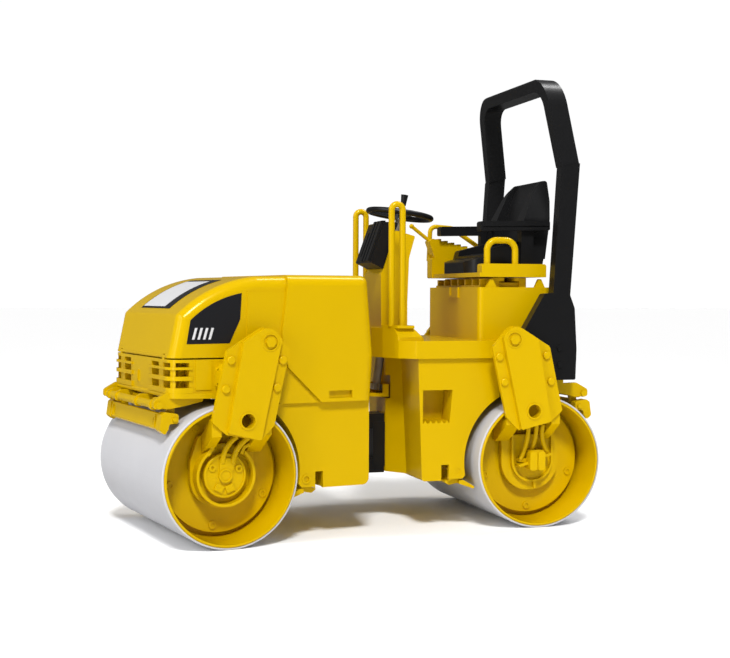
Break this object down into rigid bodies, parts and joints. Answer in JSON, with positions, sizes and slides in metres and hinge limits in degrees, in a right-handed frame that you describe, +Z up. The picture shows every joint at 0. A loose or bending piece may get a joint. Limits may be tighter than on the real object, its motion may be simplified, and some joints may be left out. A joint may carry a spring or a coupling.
{
  "type": "toy road roller",
  "caption": "Toy articulated tandem road roller with rolling drums, scrapers, tipping hood, geared steering, sliding seat station and roll-over hoop.",
  "frame": {"origin": "on the ground, under the middle of the whole box in the pose seen (front half steered 10 degrees to the left)", "axes": "+X forward along the rear half, +Y to the driver's left, +Z up"},
  "size_m": [0.2862, 0.1506, 0.2682],
  "materials": {
    "yellow_plastic": "glossy moulded ABS, warm yellow",
    "black_plastic": "satin moulded black",
    "grey_plastic": "matt light grey",
    "steel": "drawn steel",
    "shaft_plastic": "matt grey-brown"
  },
  "bodies": {
    "rear_frame": {"rear_chassis": "yellow_plastic", "platform": "yellow_plastic", "pedestal": "yellow_plastic", "seat_rail": "yellow_plastic", "hitch_bracket": "black_plastic", "rear_strut_left": "yellow_plastic", "rear_strut_right": "yellow_plastic", "rear_hub_left": "yellow_plastic", "rear_hub_right": "yellow_plastic", "rear_strut_bolts": "yellow_plastic", "rear_strut_pins": "yellow_plastic", "rear_axle": "steel", "rear_spray_bar": "yellow_plastic", "rear_scraper_pins": "yellow_plastic", "roll_hoop": "black_plastic", "rear_panel": "black_plastic", "hoop_bolts": "black_plastic", "handrail_left": "yellow_plastic", "handrail_right": "yellow_plastic", "steering_column": "yellow_plastic", "dash_cover": "black_plastic"},
    "rear_drum": {"rear_drum_sleeve": "grey_plastic", "rear_drum_core_left": "yellow_plastic", "rear_drum_core_right": "yellow_plastic"},
    "rear_outer_blade": {"rear_outer_scraper": "yellow_plastic"},
    "rear_inner_blade": {"rear_inner_scraper": "yellow_plastic"},
    "steering": {"steering_shaft": "shaft_plastic", "steering_wheel": "black_plastic", "steering_knob": "black_plastic"},
    "seat_station": {"seat_tray": "yellow_plastic", "seat": "black_plastic", "armrest_left": "black_plastic", "armrest_right": "black_plastic", "seat_handrail": "yellow_plastic", "console": "yellow_plastic"},
    "hitch": {"knuckle": "black_plastic", "articulation_pin": "steel", "steering_sector": "yellow_plastic", "trunnion_cap": "steel"},
    "front_frame": {"front_chassis": "yellow_plastic", "front_housing": "yellow_plastic", "engine_block": "yellow_plastic", "front_strut_left": "yellow_plastic", "front_strut_right": "yellow_plastic", "front_hub_left": "yellow_plastic", "front_hub_right": "yellow_plastic", "front_strut_bolts": "yellow_plastic", "front_strut_pins": "yellow_plastic", "front_axle": "steel", "front_spray_bar": "yellow_plastic", "front_scraper_pins": "yellow_plastic", "hood_hinge_pins": "steel"},
    "hood_lid": {"hood": "yellow_plastic"},
    "front_drum": {"front_drum_sleeve": "grey_plastic", "front_drum_core_left": "yellow_plastic", "front_drum_core_right": "yellow_plastic"},
    "front_outer_blade": {"front_outer_scraper": "yellow_plastic"},
    "front_inner_blade": {"front_inner_scraper": "yellow_plastic"}
  },
  "joints": [
    {"name": "rear_drum_spin", "type": "hinge", "parent": "rear_frame", "child": "rear_drum", "pos_m": [-0.10406, -0.00793, 0.039], "axis": [0, 1, 0], "continuous": true},
    {"name": "rear_outer_scraper_swing", "type": "hinge", "parent": "rear_frame", "child": "rear_outer_blade", "pos_m": [-0.13346, -0.00793, 0.0708], "axis": [0, 1, 0], "range_deg": [0, 8]},
    {"name": "rear_inner_scraper_swing", "type": "hinge", "parent": "rear_frame", "child": "rear_inner_blade", "pos_m": [-0.05586, -0.00793, 0.0342], "axis": [0, -1, 0], "range_deg": [0, 12]},
    {"name": "seat_slide", "type": "slide", "parent": "rear_frame", "child": "seat_station", "axis": [0, 1, 0], "range_m": [-0.0065, 0.0065]},
    {"name": "articulation", "type": "hinge", "parent": "rear_frame", "child": "hitch", "pos_m": [-0.00406, -0.00793, 0.047], "axis": [0, 0, 1], "range_deg": [-40, 20]},
    {"name": "steering_wheel_turn", "type": "hinge", "parent": "rear_frame", "child": "steering", "pos_m": [-0.03586, -0.00793, 0.187], "axis": [-0.1392, 0, 0.9903], "range_deg": [-210, 105]},
    {"name": "oscillation", "type": "hinge", "parent": "hitch", "child": "front_frame", "pos_m": [0.01564, -0.00446, 0.047], "axis": [0.9848, 0.1736, 0], "range_deg": [-6, 6]},
    {"name": "front_drum_spin", "type": "hinge", "parent": "front_frame", "child": "front_drum", "pos_m": [0.09442, 0.00943, 0.039], "axis": [-0.1736, 0.9848, 0], "continuous": true},
    {"name": "front_outer_scraper_swing", "type": "hinge", "parent": "front_frame", "child": "front_outer_blade", "pos_m": [0.12338, 0.01454, 0.0708], "axis": [0.1736, -0.9848, 0], "range_deg": [0, 8]},
    {"name": "front_inner_scraper_swing", "type": "hinge", "parent": "front_frame", "child": "front_inner_blade", "pos_m": [0.04695, 0.00106, 0.0342], "axis": [-0.1736, 0.9848, 0], "range_deg": [0, 12]},
    {"name": "hood_tip", "type": "hinge", "parent": "front_frame", "child": "hood_lid", "pos_m": [0.12485, 0.0148, 0.104], "axis": [-0.1736, 0.9848, 0], "range_deg": [0, 60]}
  ],
  "couplings": [
    {"joint": "steering_wheel_turn", "follows": "articulation", "ratio": 5.25}
  ]
}
